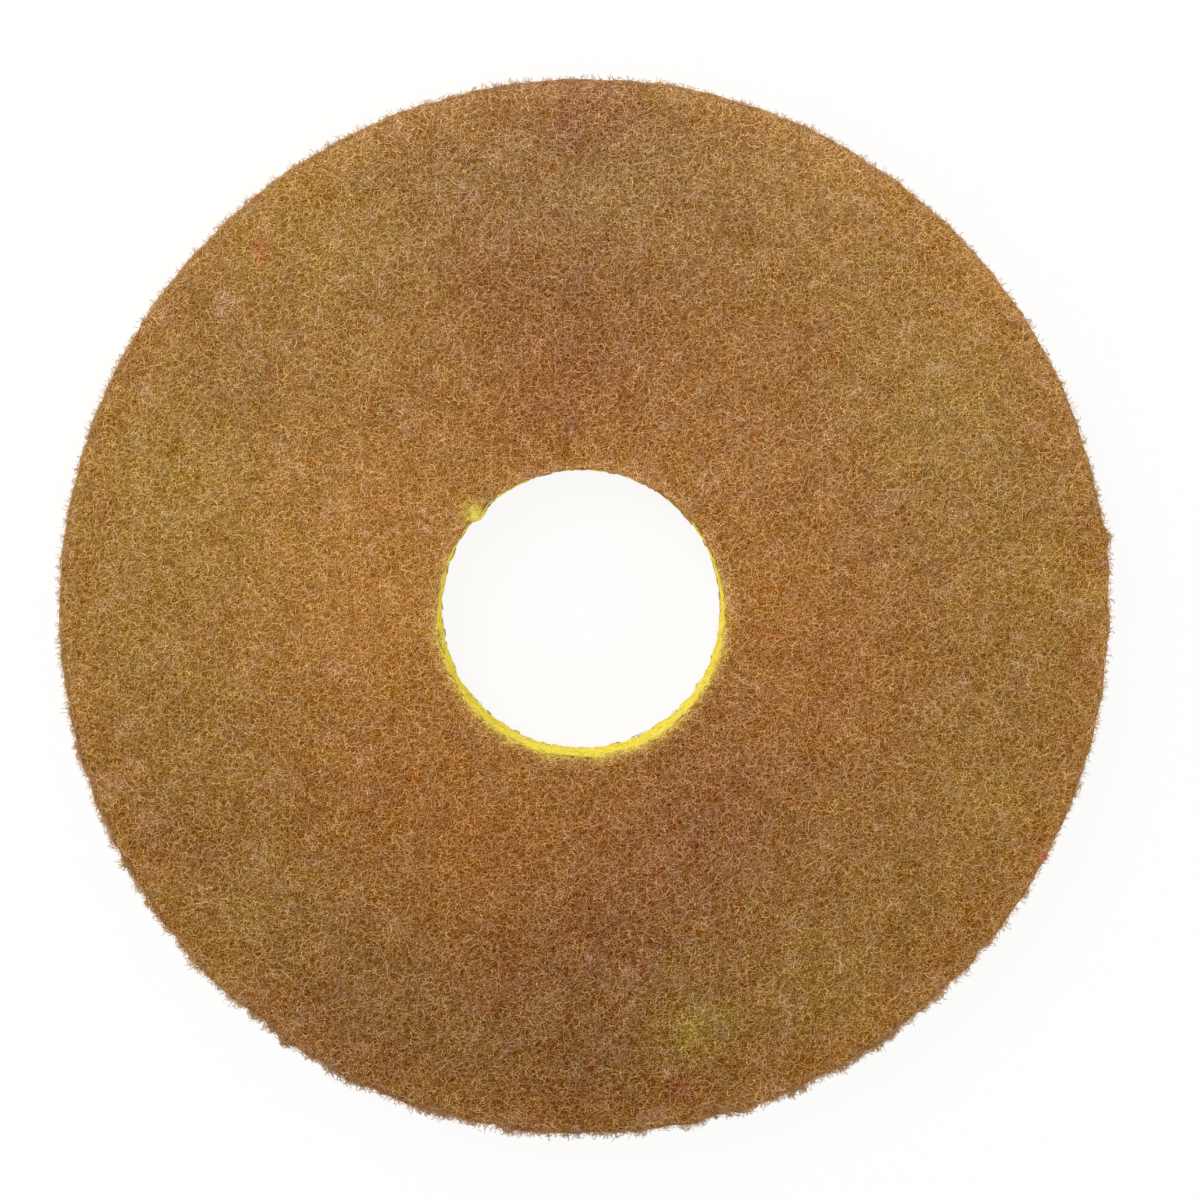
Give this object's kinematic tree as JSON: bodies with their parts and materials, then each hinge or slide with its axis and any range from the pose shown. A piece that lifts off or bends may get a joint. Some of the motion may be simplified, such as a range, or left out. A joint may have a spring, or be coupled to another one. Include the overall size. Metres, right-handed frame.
{
  "type": "floor polishing pad",
  "caption": "Thick round pad of non-woven fibre web with a centre hole, coated brown on both faces, for polishing hard floors with a rotary machine.",
  "frame": {"origin": "centre of the lower face, on the axis of the ring", "axes": "+Z along the pad's axis, up out of the face that the picture shows; +Y towards the top of the picture and +X to its right"},
  "size_m": [0.304, 0.306, 0.025],
  "materials": {
    "coated_web": "matt, lofty web of curly fibres bonded with brown resin and fine abrasive at both faces, bare yellow fibre where the cut walls show the core"
  },
  "bodies": {
    "root": {"floor_pad": "coated_web"}
  },
  "joints": []
}
